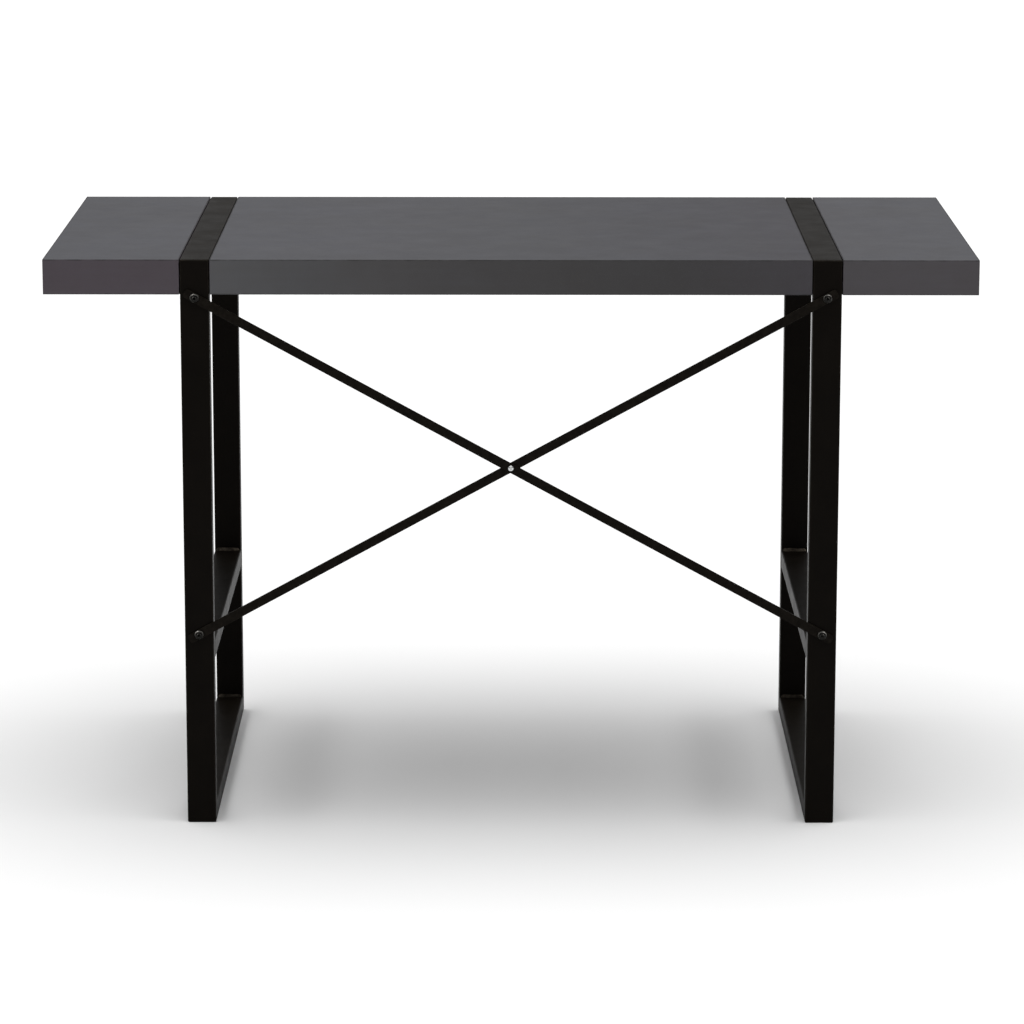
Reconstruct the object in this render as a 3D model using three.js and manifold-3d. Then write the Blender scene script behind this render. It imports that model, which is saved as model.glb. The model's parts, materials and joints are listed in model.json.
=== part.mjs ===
// Writing desk: three thick hollow-core top panels held between and outside two
// welded loop leg frames of rectangular steel tube, with a flat-bar X brace
// bolted across one long side. Millimetres. +X runs along the desk, +Z is up and
// -Y is the braced side. The origin is the bottom centre of the whole desk.
import * as THREE from "three";
import { mergeVertices } from "three/addons/utils/BufferGeometryUtils.js";
import Module from "manifold-3d";

// Overall
const LENGTH = 1220;
const DEPTH = 600; // of the panels and of the leg frames
const HEIGHT = 760; // floor to desktop

// Leg frames
const TUBE_WIDTH = 38; // along the desk
const TUBE_DEPTH = 25; // in the plane of the loop
const TUBE_WALL = 1.5;
const TUBE_CORNER = 2.5; // outside corner radius
const FRAME_SPACING = 825; // centre of one leg frame to centre of the other
const MID_RAIL_HEIGHT = 220; // floor to the underside of the middle rail

// Top panels
const PANEL_THICKNESS = 46;
const PANEL_GAP = 1; // between a panel's end and the tube beside it
const SKIN = 3; // top and bottom boards
const BAND = 1; // edge band
const FRAME_BOARD = 40; // width of the solid frame inside a panel
const CELL_PITCH = 80; // honeycomb cells, centre to centre
const CELL_WALL = 3;

// Carrier plates under the panels
const PLATE_THICKNESS = 3;
const PLATE_REACH = 45; // from the post into the frame
const PLATE_MARGIN = 12; // from a screw to the plate's end
const SCREW_INSET = 20; // from a panel's end to its screws
const SCREW_LENGTH = 25;
const SCREW_RADIUS = 2.2;
const SCREW_HEAD_RADIUS = 4.5;
const SCREW_HEAD_HEIGHT = 2.4;

// Brace
const BAR_WIDTH = 12;
const BAR_THICKNESS = 3;
const BAR_END = 15; // from a bolt to the bar's end
const BOLT_BELOW_TOP = 50; // desktop down to the upper bolts
const BOLT_ABOVE_RAIL = 14; // middle rail up to the lower bolts
const BOLT_RADIUS = 3;
const BOLT_LENGTH = 14; // under the head
const BOLT_HEAD_RADIUS = 6.2;
const BOLT_HEAD_HEIGHT = 4.4;
const SOCKET_ACROSS_FLATS = 4;
const SOCKET_DEPTH = 2.4;
const NUT_RADIUS = 4.5;
const NUT_LENGTH = 13;
const NUT_COLLAR_RADIUS = 6.5;
const NUT_COLLAR_LENGTH = 2.5;
const RIVET_RADIUS = 2.5;
const RIVET_HEAD_RADIUS = 3.9;
const RIVET_HEAD_HEIGHT = 1.9;

// Clearance between faces that meet
const GAP = 0.3;

const ROUND = 24; // sides of a round piece
const HOLE_ROUND = 16; // sides of a hole
const CORNER_STEPS = 3; // facets in a tube's corner

// Worked out from the above
const frameX = FRAME_SPACING / 2;
const postY = DEPTH / 2 - TUBE_DEPTH / 2;
const panelBottom = HEIGHT - PANEL_THICKNESS;
const innerEnd = frameX - TUBE_WIDTH / 2 - PANEL_GAP; // end of the centre panel
const outerStart = frameX + TUBE_WIDTH / 2 + PANEL_GAP; // start of an end panel
const plateTop = panelBottom - GAP;
const plateY = DEPTH / 2 - TUBE_DEPTH - GAP - PLATE_REACH / 2;
const screwX = TUBE_WIDTH / 2 + PANEL_GAP + SCREW_INSET; // from the frame's centre
const lowerBolt = MID_RAIL_HEIGHT + TUBE_DEPTH + BOLT_ABOVE_RAIL;
const upperBolt = HEIGHT - BOLT_BELOW_TOP;
const barY = -DEPTH / 2 - GAP - BAR_THICKNESS / 2; // middle of a bar at its bolts
const barBow = (BAR_THICKNESS + GAP) / 2; // how far each bar gives way at the crossing
const proud = GAP + BAR_THICKNESS + GAP + BOLT_HEAD_HEIGHT; // in front of the posts

const finishes = {
  laminate: { color: 0x5f5f62, roughness: 0.55, metalness: 0 },
  edge: { color: 0x474549, roughness: 0.6, metalness: 0 },
  underside: { color: 0x39393a, roughness: 0.8, metalness: 0 },
  board: { color: 0xb08d62, roughness: 0.9, metalness: 0 },
  honeycomb: { color: 0xa98c66, roughness: 1, metalness: 0 },
  powder: { color: 0x101011, roughness: 0.5, metalness: 0.3 },
  blackBolt: { color: 0x0d0d0e, roughness: 0.35, metalness: 0.8 },
  zinc: { color: 0xc4c6c9, roughness: 0.3, metalness: 1 },
};

const wasm = await Module();
wasm.setup();

// A closed geometry as a manifold-3d solid.
function solid(geometry) {
  const bare = geometry.clone();
  bare.deleteAttribute("normal");
  bare.deleteAttribute("uv");
  const merged = mergeVertices(bare, 1e-3);
  return new wasm.Manifold(
    new wasm.Mesh({
      numProp: 3,
      vertProperties: merged.attributes.position.array,
      triVerts: new Uint32Array(merged.index.array),
    }),
  );
}

// A geometry with others cut from it.
function cut(geometry, ...tools) {
  const result = tools.reduce((body, tool) => body.subtract(solid(tool)), solid(geometry));
  const mesh = result.getMesh();
  const made = new THREE.BufferGeometry();
  made.setAttribute("position", new THREE.BufferAttribute(mesh.vertProperties, 3));
  made.setIndex(new THREE.BufferAttribute(mesh.triVerts, 1));
  const flat = made.toNonIndexed();
  flat.computeVertexNormals();
  return flat;
}

// A named mesh in one of the finishes.
function piece(name, geometry, finish, [x, y, z] = [0, 0, 0]) {
  const mesh = new THREE.Mesh(geometry, new THREE.MeshStandardMaterial(finishes[finish]));
  mesh.name = name;
  mesh.position.set(x, y, z);
  return mesh;
}

// A rectangle about the origin with round corners, drawn on a Shape or a Path.
function roundedRectangle(target, width, depth, radius) {
  const x = width / 2 - radius;
  const y = depth / 2 - radius;
  target.absarc(x, y, radius, 0, Math.PI / 2, false);
  target.absarc(-x, y, radius, Math.PI / 2, Math.PI, false);
  target.absarc(-x, -y, radius, Math.PI, 1.5 * Math.PI, false);
  target.absarc(x, -y, radius, 1.5 * Math.PI, 2 * Math.PI, false);
  target.closePath();
  return target;
}

// A circle as a hole in a shape.
function holeAt(x, y, radius) {
  return new THREE.Path().absarc(x, y, radius, 0, 2 * Math.PI, true);
}

// A rectangle as a shape or as a hole in one.
function rectangle(target, x0, y0, x1, y1) {
  return target.moveTo(x0, y0).lineTo(x1, y0).lineTo(x1, y1).lineTo(x0, y1).closePath();
}

// A length of rectangular tube along +Z from 0, open at both ends. Its outward
// side is -Y. A mitred tube's ends are cut at 45 degrees, longest on that side.
function tube(length, mitred) {
  const section = roundedRectangle(new THREE.Shape(), TUBE_WIDTH, TUBE_DEPTH, TUBE_CORNER);
  const bore = roundedRectangle(
    new THREE.Path(),
    TUBE_WIDTH - 2 * TUBE_WALL,
    TUBE_DEPTH - 2 * TUBE_WALL,
    TUBE_CORNER - TUBE_WALL,
  );
  section.holes.push(bore);
  const body = new THREE.ExtrudeGeometry(section, {
    depth: length,
    bevelEnabled: false,
    curveSegments: CORNER_STEPS,
  });
  if (mitred) {
    const at = body.attributes.position;
    for (let i = 0; i < at.count; i += 1) {
      const back = GAP / 2 + TUBE_DEPTH / 2 + at.getY(i);
      at.setZ(i, at.getZ(i) < length / 2 ? back : length - back);
    }
  }
  return body;
}

// A round solid about the Z axis from (radius, height) pairs, starting and ending on the axis.
function turned(profile, sides = ROUND) {
  return new THREE.LatheGeometry(
    profile.map(([radius, height]) => new THREE.Vector2(radius, height)),
    sides,
  ).rotateX(Math.PI / 2);
}

// A cylinder about the Y axis.
function pinAlongY(radius, length, x, y, z) {
  return new THREE.CylinderGeometry(radius, radius, length, HOLE_ROUND).translate(x, y, z);
}

// One loop leg frame about x = 0: two posts and a top and bottom rail mitred
// into a ring, and a middle rail between the posts.
function legFrame(side) {
  const group = new THREE.Group();
  const post = tube(HEIGHT, true);
  const nutHole = (z) => pinAlongY(NUT_RADIUS + GAP, TUBE_DEPTH, 0, -TUBE_DEPTH / 2, z);
  const nearPost = cut(post, nutHole(lowerBolt), nutHole(upperBolt));
  group.add(piece(`${side}_near_post`, nearPost, "powder", [0, -postY, 0]));
  const farPost = piece(`${side}_far_post`, post, "powder", [0, postY, 0]);
  farPost.rotation.z = Math.PI;
  group.add(farPost);

  const railTop = HEIGHT - TUBE_DEPTH / 2;
  const topRail = piece(`${side}_top_rail`, tube(DEPTH, true), "powder", [0, -DEPTH / 2, railTop]);
  topRail.rotation.x = -Math.PI / 2;
  group.add(topRail);
  const bottomRail = piece(`${side}_bottom_rail`, tube(DEPTH, true), "powder");
  bottomRail.position.set(0, DEPTH / 2, TUBE_DEPTH / 2);
  bottomRail.rotation.x = Math.PI / 2;
  group.add(bottomRail);

  const clear = DEPTH - 2 * (TUBE_DEPTH + GAP);
  const midRail = piece(`${side}_middle_rail`, tube(clear, false), "powder");
  midRail.position.set(0, -clear / 2, MID_RAIL_HEIGHT + TUBE_DEPTH / 2);
  midRail.rotation.x = -Math.PI / 2;
  group.add(midRail);
  return group;
}

// A carrier plate welded to a post, under the ends of the two panels that meet there.
function carrierPlate() {
  const half = screwX + PLATE_MARGIN;
  const outline = rectangle(new THREE.Shape(), -half, -PLATE_REACH / 2, half, PLATE_REACH / 2);
  for (const x of [-screwX, screwX]) outline.holes.push(holeAt(x, 0, SCREW_RADIUS + GAP));
  return new THREE.ExtrudeGeometry(outline, {
    depth: PLATE_THICKNESS,
    bevelEnabled: false,
    curveSegments: HOLE_ROUND / 2,
  });
}

// A panel screw standing on its head, point up, with its head's underside at z = 0.
function panelScrew() {
  const tip = SCREW_LENGTH - 2 * SCREW_RADIUS;
  return turned(
    [
      [0, -SCREW_HEAD_HEIGHT],
      [SCREW_HEAD_RADIUS * 0.7, -SCREW_HEAD_HEIGHT],
      [SCREW_HEAD_RADIUS, 0],
      [SCREW_RADIUS, 0],
      [SCREW_RADIUS, tip],
      [0, SCREW_LENGTH],
    ],
    HOLE_ROUND,
  );
}

// The honeycomb sheet inside a panel, from z = 0 up: a slab with hexagonal cells through it.
function honeycomb(x0, y0, x1, y1, thickness) {
  const centre = [(x0 + x1) / 2, (y0 + y1) / 2];
  const slab = new THREE.BoxGeometry(x1 - x0, y1 - y0, thickness);
  slab.translate(...centre, thickness / 2);
  const radius = (CELL_PITCH - CELL_WALL) / Math.sqrt(3);
  const rowPitch = (CELL_PITCH * Math.sqrt(3)) / 2;
  const rows = Math.ceil((y1 - y0) / rowPitch);
  const columns = Math.ceil((x1 - x0) / CELL_PITCH);
  const cells = [];
  for (let row = -rows; row <= rows; row += 1) {
    for (let column = -columns; column <= columns; column += 1) {
      const x = centre[0] + (column + (row % 2 ? 0.5 : 0)) * CELL_PITCH;
      const y = centre[1] + row * rowPitch;
      const insideX = x - CELL_PITCH / 2 >= x0 && x + CELL_PITCH / 2 <= x1;
      const insideY = y - radius - CELL_WALL >= y0 && y + radius + CELL_WALL <= y1;
      if (!insideX || !insideY) continue;
      const cell = new THREE.CylinderGeometry(radius, radius, 2 * thickness, 6).rotateX(Math.PI / 2);
      cells.push(cell.translate(x, y, thickness / 2));
    }
  }
  return cut(slab, ...cells);
}

// One top panel from x0 to x1, with screws at the given places along it: two
// skins on a solid frame and a honeycomb sheet, banded on all four edges.
function panel(name, x0, x1, screws) {
  const group = new THREE.Group();
  const halfDepth = DEPTH / 2;
  const inset = BAND + GAP;
  const [bx0, bx1, by] = [x0 + inset, x1 - inset, halfDepth - inset];
  const boardBottom = panelBottom + SKIN + GAP;
  const boardThickness = PANEL_THICKNESS - 2 * (SKIN + GAP);
  const pilotHoles = screws.flatMap((x) =>
    [-plateY, plateY].map((y) => holeAt(x, y, SCREW_RADIUS + GAP)),
  );
  const board = (depth, holes) => {
    const outline = rectangle(new THREE.Shape(), bx0, -by, bx1, by);
    outline.holes.push(...holes);
    return new THREE.ExtrudeGeometry(outline, {
      depth,
      bevelEnabled: false,
      curveSegments: HOLE_ROUND / 2,
    });
  };
  const window = rectangle(
    new THREE.Path(),
    bx0 + FRAME_BOARD,
    -by + FRAME_BOARD,
    bx1 - FRAME_BOARD,
    by - FRAME_BOARD,
  );
  group.add(piece(`${name}_top_skin`, board(SKIN, []), "laminate", [0, 0, HEIGHT - SKIN]));
  group.add(piece(`${name}_bottom_skin`, board(SKIN, pilotHoles), "underside", [0, 0, panelBottom]));
  const ring = board(boardThickness, [window, ...pilotHoles]);
  group.add(piece(`${name}_frame`, ring, "board", [0, 0, boardBottom]));
  const edge = FRAME_BOARD + GAP;
  const core = honeycomb(bx0 + edge, -by + edge, bx1 - edge, by - edge, boardThickness);
  group.add(piece(`${name}_core`, core, "honeycomb", [0, 0, boardBottom]));

  const middle = panelBottom + PANEL_THICKNESS / 2;
  const longBand = new THREE.BoxGeometry(x1 - x0, BAND, PANEL_THICKNESS);
  const bandY = halfDepth - BAND / 2;
  const centreX = (x0 + x1) / 2;
  group.add(piece(`${name}_near_edge_band`, longBand, "edge", [centreX, -bandY, middle]));
  group.add(piece(`${name}_far_edge_band`, longBand, "edge", [centreX, bandY, middle]));
  const endBand = new THREE.BoxGeometry(BAND, DEPTH - 2 * inset, PANEL_THICKNESS);
  group.add(piece(`${name}_left_edge_band`, endBand, "edge", [x0 + BAND / 2, 0, middle]));
  group.add(piece(`${name}_right_edge_band`, endBand, "edge", [x1 - BAND / 2, 0, middle]));
  return group;
}

// A brace bar about its middle, along X, its bow towards -Y where bow is positive:
// flat at the bolts and eased over half a cosine wave to its full bow at the rivet.
function braceBar(boltSpan, bow) {
  const steps = 32;
  const bar = new THREE.BoxGeometry(boltSpan + 2 * BAR_END, BAR_THICKNESS, BAR_WIDTH, steps, 1, 1);
  const at = bar.attributes.position;
  for (let i = 0; i < at.count; i += 1) {
    const along = Math.min(1, Math.abs(at.getX(i)) / (boltSpan / 2));
    at.setY(i, at.getY(i) - (bow * (1 + Math.cos(Math.PI * along))) / 2);
  }
  const boltHole = (x) => pinAlongY(BOLT_RADIUS + GAP, 4 * BAR_THICKNESS, x, 0, 0);
  const rivetHole = pinAlongY(RIVET_RADIUS + GAP, 4 * BAR_THICKNESS, 0, 0, 0);
  return cut(bar, boltHole(-boltSpan / 2), boltHole(boltSpan / 2), rivetHole);
}

// A button-head socket bolt with its head's underside at z = 0 and its shank down.
function buttonBolt() {
  const dome = [];
  const steps = 5;
  for (let i = 0; i <= steps; i += 1) {
    const angle = (i / steps) * 0.36 * Math.PI;
    const flat = BOLT_HEAD_RADIUS * Math.cos(angle);
    const rise = (BOLT_HEAD_HEIGHT * Math.sin(angle)) / Math.sin(0.36 * Math.PI);
    dome.push([flat, rise]);
  }
  const head = turned([
    [0, -BOLT_LENGTH],
    [BOLT_RADIUS - GAP, -BOLT_LENGTH],
    [BOLT_RADIUS, -BOLT_LENGTH + GAP],
    [BOLT_RADIUS, 0],
    ...dome,
    [0, BOLT_HEAD_HEIGHT],
  ]);
  const socketRadius = SOCKET_ACROSS_FLATS / Math.sqrt(3);
  const socket = new THREE.CylinderGeometry(socketRadius, socketRadius, 2 * SOCKET_DEPTH, 6)
    .rotateX(Math.PI / 2)
    .translate(0, 0, BOLT_HEAD_HEIGHT);
  return cut(head, socket);
}

// A rivet nut set flush in a post's wall, mouth at z = 0 and body down.
function rivetNut() {
  const bore = BOLT_RADIUS + GAP;
  const collar = TUBE_WALL + GAP;
  return turned([
    [bore, 0],
    [bore, -NUT_LENGTH],
    [NUT_RADIUS, -NUT_LENGTH],
    [NUT_RADIUS, -collar - NUT_COLLAR_LENGTH],
    [NUT_COLLAR_RADIUS, -collar - NUT_COLLAR_LENGTH],
    [NUT_COLLAR_RADIUS, -collar],
    [NUT_RADIUS, -collar],
    [NUT_RADIUS, 0],
    [bore, 0],
  ]);
}

// The rivet through both bars at the crossing, about its middle, front head up.
function crossRivet() {
  const half = BAR_THICKNESS + 1.5 * GAP;
  const dome = [];
  const steps = 5;
  for (let i = 0; i < steps; i += 1) {
    const angle = (i / steps) * 0.5 * Math.PI;
    const flat = RIVET_HEAD_RADIUS * Math.cos(angle);
    dome.push([flat, half + RIVET_HEAD_HEIGHT * Math.sin(angle)]);
  }
  return turned([
    [0, -half - RIVET_HEAD_HEIGHT / 2],
    [RIVET_HEAD_RADIUS, -half - RIVET_HEAD_HEIGHT / 2],
    [RIVET_HEAD_RADIUS, -half],
    [RIVET_RADIUS, -half],
    [RIVET_RADIUS, half],
    ...dome,
    [0, half + RIVET_HEAD_HEIGHT],
  ]);
}

// The X brace: two bars, the rivet where they cross, and a bolt and a rivet nut at each end.
function brace() {
  const group = new THREE.Group();
  const rise = upperBolt - lowerBolt;
  const boltSpan = Math.hypot(FRAME_SPACING, rise);
  const slope = Math.atan2(rise, FRAME_SPACING);
  const crossing = [0, barY, (upperBolt + lowerBolt) / 2];
  const falling = piece("falling_brace_bar", braceBar(boltSpan, barBow), "powder", crossing);
  falling.rotation.y = slope;
  const rising = piece("rising_brace_bar", braceBar(boltSpan, -barBow), "powder", crossing);
  rising.rotation.y = -slope;
  const rivet = piece("brace_rivet", crossRivet(), "zinc", crossing);
  rivet.rotation.x = Math.PI / 2;
  group.add(falling, rising, rivet);

  const headSeat = barY - BAR_THICKNESS / 2 - GAP;
  for (const [side, x] of [["left", -frameX], ["right", frameX]]) {
    for (const [level, z] of [["upper", upperBolt], ["lower", lowerBolt]]) {
      const bolt = piece(`${side}_${level}_brace_bolt`, buttonBolt(), "blackBolt", [x, headSeat, z]);
      bolt.rotation.x = Math.PI / 2;
      const nutName = `${side}_${level}_rivet_nut`;
      const nut = piece(nutName, rivetNut(), "zinc", [x, -DEPTH / 2, z]);
      nut.rotation.x = Math.PI / 2;
      group.add(bolt, nut);
    }
  }
  return group;
}

// The four carrier plates and the eight screws that hold the panels down to them.
function panelMounts() {
  const group = new THREE.Group();
  for (const [side, frame] of [["left", -frameX], ["right", frameX]]) {
    for (const [place, y] of [["near", -plateY], ["far", plateY]]) {
      const plateName = `${side}_${place}_carrier_plate`;
      const plateBottom = plateTop - PLATE_THICKNESS;
      group.add(piece(plateName, carrierPlate(), "powder", [frame, y, plateBottom]));
      for (const [end, x] of [["inner", -Math.sign(frame)], ["outer", Math.sign(frame)]]) {
        const screwAt = [frame + x * screwX, y, plateBottom - GAP];
        group.add(piece(`${side}_${place}_${end}_panel_screw`, panelScrew(), "zinc", screwAt));
      }
    }
  }
  return group;
}

const desk = new THREE.Group();
desk.position.y = proud / 2; // the brace stands proud on one side, so the box's middle is the origin
for (const [side, x] of [["left", -frameX], ["right", frameX]]) {
  const frame = legFrame(side);
  frame.position.x = x;
  desk.add(frame);
}
const outerScrew = frameX + screwX;
const innerScrew = frameX - screwX;
desk.add(panel("left_end_panel", -LENGTH / 2, -outerStart, [-outerScrew]));
desk.add(panel("centre_panel", -innerEnd, innerEnd, [-innerScrew, innerScrew]));
desk.add(panel("right_end_panel", outerStart, LENGTH / 2, [outerScrew]));
desk.add(panelMounts());
desk.add(brace());

export default desk;
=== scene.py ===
"""Looks of a writing desk with two steel loop leg frames, three thick top panels and an X brace.

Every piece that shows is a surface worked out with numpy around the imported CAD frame, in metres.
What lies inside the panels and posts keeps the CAD's own shape.
"""

import json
import math

import bpy
import numpy as np
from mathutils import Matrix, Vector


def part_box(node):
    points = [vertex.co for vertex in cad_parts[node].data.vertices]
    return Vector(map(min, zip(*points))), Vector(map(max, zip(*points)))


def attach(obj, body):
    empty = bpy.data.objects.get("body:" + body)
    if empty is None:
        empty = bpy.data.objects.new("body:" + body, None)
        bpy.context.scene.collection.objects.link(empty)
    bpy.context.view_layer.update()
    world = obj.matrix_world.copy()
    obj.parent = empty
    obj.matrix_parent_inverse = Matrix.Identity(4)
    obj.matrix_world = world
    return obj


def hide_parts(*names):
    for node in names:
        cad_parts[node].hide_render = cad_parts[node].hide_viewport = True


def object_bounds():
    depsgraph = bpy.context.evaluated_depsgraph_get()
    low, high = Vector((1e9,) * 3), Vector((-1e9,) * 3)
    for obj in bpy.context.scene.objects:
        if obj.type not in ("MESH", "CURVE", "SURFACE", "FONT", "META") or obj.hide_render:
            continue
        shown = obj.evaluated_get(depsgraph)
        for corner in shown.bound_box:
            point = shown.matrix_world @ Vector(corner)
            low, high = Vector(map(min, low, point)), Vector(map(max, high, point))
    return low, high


bl_info = {
    "name": "Loop-leg writing desk",
    "version": (1, 0, 0),
    "blender": (4, 5, 0),
    "location": "3D View > Sidebar > Desk",
    "description": "Builds the fine pieces, finishes and studio of a loop-leg writing desk",
    "category": "Object",
}

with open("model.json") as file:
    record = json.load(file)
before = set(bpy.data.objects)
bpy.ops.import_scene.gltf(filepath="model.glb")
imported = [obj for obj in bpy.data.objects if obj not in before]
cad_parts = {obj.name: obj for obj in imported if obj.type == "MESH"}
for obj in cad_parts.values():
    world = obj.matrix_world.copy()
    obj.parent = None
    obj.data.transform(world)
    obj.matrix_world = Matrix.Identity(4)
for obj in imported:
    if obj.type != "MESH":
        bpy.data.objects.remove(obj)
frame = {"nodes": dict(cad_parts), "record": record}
CAD_BOX = [list(corner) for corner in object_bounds()]

MM = 0.001
BODY = "root"
SIDES = ("left", "right")
PANELS = ("left_end_panel", "centre_panel", "right_end_panel")
SLOT_OF = {part["node"]: part["material_slot"] for part in frame["record"]["subparts"]}
HALF_LENGTH = CAD_BOX[1][0]
TURN = 2 * math.pi
QUARTER = math.pi / 2

# Shares of another size
FLAT_SHARE = 0.45  # how far a support line may go from an edge towards the middle of a flat
SHANK_SHARE = 0.48  # a bolt's or screw's shank, of its head's radius

# Painted highlights on a bolt's dome, where it catches the light from above: angle round the head,
# spread and amount
HIGHLIGHT_BELLS = ((math.radians(130), math.radians(26), 2.2), (math.radians(35), math.radians(16), 1.0))
EVEN_HIGHLIGHT = 0.16  # painted highlight over the rest of the dome


# -------- sizes and colours


def length_property(name, description, millimetres):
    """A length in metres, shown in the scene's units."""
    return bpy.props.FloatProperty(
        name=name, description=description, default=millimetres * MM, min=0.0,
        unit="LENGTH", subtype="DISTANCE", precision=5,
    )


def colour_property(name, description, linear):
    """A linear RGB colour."""
    return bpy.props.FloatVectorProperty(
        name=name, description=description, default=linear, size=3,
        min=0.0, max=1.0, subtype="COLOR",
    )


def angle_property(name, description, degrees):
    """An angle in radians, shown in degrees."""
    return bpy.props.FloatProperty(
        name=name, description=description, default=math.radians(degrees), unit="ROTATION",
        subtype="ANGLE", precision=3,
    )


def number_property(name, description, number):
    """A plain number, not below nothing."""
    return bpy.props.FloatProperty(name=name, description=description, default=number, min=0.0)


class DeskShapeSettings(bpy.types.PropertyGroup):
    """Fine sizes that the CAD frame doesn't hold."""

    tube_corner: length_property("Tube corner", "Outside corner radius of the tube", 1.9)
    loop_outer: length_property("Loop outer corner", "Ground radius where two tubes meet", 2.2)
    loop_inner: length_property("Loop inner corner", "Radius inside the loop's corners", 0.6)
    weld_leg: length_property("Weld leg", "Reach of a fillet weld on each face", 3.8)
    weld_pitch: length_property("Weld ripple", "Length of one ripple along a weld", 1.9)
    board_edge: length_property("Board edge", "Eased edge of a skin", 0.35)
    band_edge: length_property("Band edge", "Rounded edge of an edge band", 0.45)
    glue_line: length_property("Glue line", "Groove between a skin and its band", 0.12)
    plate_edge: length_property("Plate edge", "Rounded edge of a carrier plate", 0.5)
    bar_edge: length_property("Bar edge", "Rolled edge of a brace bar", 0.7)
    bar_corner: length_property("Bar corner", "Corner radius at a brace bar's ends", 4.5)
    tube_rub: number_property("Tube rub", "How far a tube's rounded edges are rubbed", 0.13)
    bar_rub: number_property("Bar rub", "How far a brace bar's edges are rubbed", 0.04)
    bar_thin: number_property("Bar coat", "How thin the coat is all over a brace bar", 0.065)
    bolt_head: length_property("Bolt head height", "Height of a button head", 4.4)
    bolt_socket: length_property("Bolt socket", "Socket width across its flats", 4.0)
    bolt_socket_depth: length_property("Bolt socket depth", "Depth of the hexagon socket", 2.4)
    screw_head: length_property("Screw head height", "Height of a pan head", 2.4)
    rivet_head: length_property("Rivet head height", "Height of the rivet's dome", 1.9)
    rivet_recess: length_property("Rivet recess", "Radius of the hollow in the rivet head", 1.35)


class DeskFinishSettings(bpy.types.PropertyGroup):
    """Colours of the finishes."""

    laminate: colour_property("Laminate", "Top of the panels", (0.0572, 0.0577, 0.0638))
    band: colour_property("Edge band", "Edges of the panels", (0.0539, 0.0522, 0.0547))
    powder: colour_property("Powder coat", "Black powder coat", (0.0041, 0.0032, 0.0024))
    # Colour of the rubbed powder coat, and also of the painted highlight on the weld beads
    bare_coat_and_weld_highlight: colour_property("Rubbed coat", "Powder coat where it is thin", (0.105, 0.088, 0.068))
    backing: colour_property("Backing", "Foil under the panels", (0.016, 0.016, 0.0165))
    black_oxide: colour_property("Black oxide", "Brace bolts", (0.009, 0.0087, 0.008))
    zinc: colour_property("Zinc", "Rivet, screws and rivet nuts", (0.66, 0.68, 0.70))
    board: colour_property("Particle board", "Frames inside the panels", (0.39, 0.245, 0.115))
    paper: colour_property("Honeycomb paper", "Cores inside the panels", (0.39, 0.255, 0.125))
    floor: colour_property("Floor", "Studio floor", (0.86, 0.86, 0.86))


class DeskStageSettings(bpy.types.PropertyGroup):
    """Camera, floor and studio light."""

    camera_height: length_property("Camera height", "Above the floor", 1605.6)
    camera_distance: length_property("Camera distance", "From the desk's middle", 5841.5)
    camera_aside: length_property("Camera aside", "Towards +X from the desk's middle", 6.7)
    camera_pitch: angle_property("Camera pitch", "How far the camera looks down", 12.02)
    camera_roll: angle_property("Camera roll", "Tilt about the direction of view", 0.05)
    camera_yaw: angle_property("Camera yaw", "Turn towards -X", 0.063)
    lens: number_property("Lens", "Focal length in millimetres", 151.36)
    sensor: number_property("Sensor", "Width of the camera's sensor in millimetres", 36.0)
    floor_reach: length_property("Floor reach", "Half the floor's side", 60000)
    fill: number_property("Fill", "Even light from all round", 0.32)
    overhead: number_property("Overhead", "Soft light from straight above", 3.0)
    overhead_spread: angle_property("Overhead spread", "Angle that the soft light fills", 75.0)
    wall: number_property("Wall power", "Power of the white wall of light behind", 34.0)
    wall_width: length_property("Wall width", "Of the wall of light", 16000)
    wall_height: length_property("Wall height", "Of the wall of light, from the floor", 5000)
    wall_distance: length_property("Wall distance", "From the desk's middle", 8000)


# -------- surfaces


def box_of(node):
    """Lowest and highest corner of a CAD node as arrays."""
    return np.array(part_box(node))


def lower(node):
    """Lowest corner of a CAD node."""
    return box_of(node)[0]


def upper(node):
    """Highest corner of a CAD node."""
    return box_of(node)[1]


def middle_of(node):
    """Middle of a CAD node's box."""
    return box_of(node).sum(0) / 2


def head_across_y(node, head):
    """Head of a CAD node that stands along Y: its radius, its seat's middle and its tip behind."""
    low, high = box_of(node)
    seat = middle_of(node)
    seat[1] = low[1] + head
    return (high[0] - low[0]) / 2, seat, seat[1] - high[1]


def nodes_ending(*endings):
    """CAD nodes whose names end in one of these."""
    return [node for node in SLOT_OF if node.endswith(endings)]


def as_points(x, y, z):
    """Coordinates stretched to one shape and stacked as points."""
    return np.stack(np.broadcast_arrays(x, y, z), -1)


def grid_faces(rings, points):
    """Four-cornered faces between each ring of points and the next, each ring closed on itself."""
    ring = np.arange(rings - 1)[:, None] * points
    j = np.arange(points)[None, :]
    after_ring, after_j = ring + points, (j + 1) % points
    corners = [ring + j, ring + after_j, after_ring + after_j, after_ring + j]
    return np.stack(corners, -1).reshape(-1, 4)


def signed_volume(points, quads, caps):
    """Volume inside a closed surface: a sixth of the sum of a . (b x c) over its triangles."""
    triangles = [quads[:, [0, 1, 2]], quads[:, [0, 2, 3]]]
    for cap in caps:
        cap = np.asarray(cap)
        fan = np.stack([np.full(len(cap) - 2, cap[0]), cap[1:-1], cap[2:]], -1)
        triangles.append(fan)
    a, b, c = (points[np.concatenate(triangles)[:, k]] for k in range(3))
    return float(np.sum(a * np.cross(b, c)) / 6)


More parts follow.
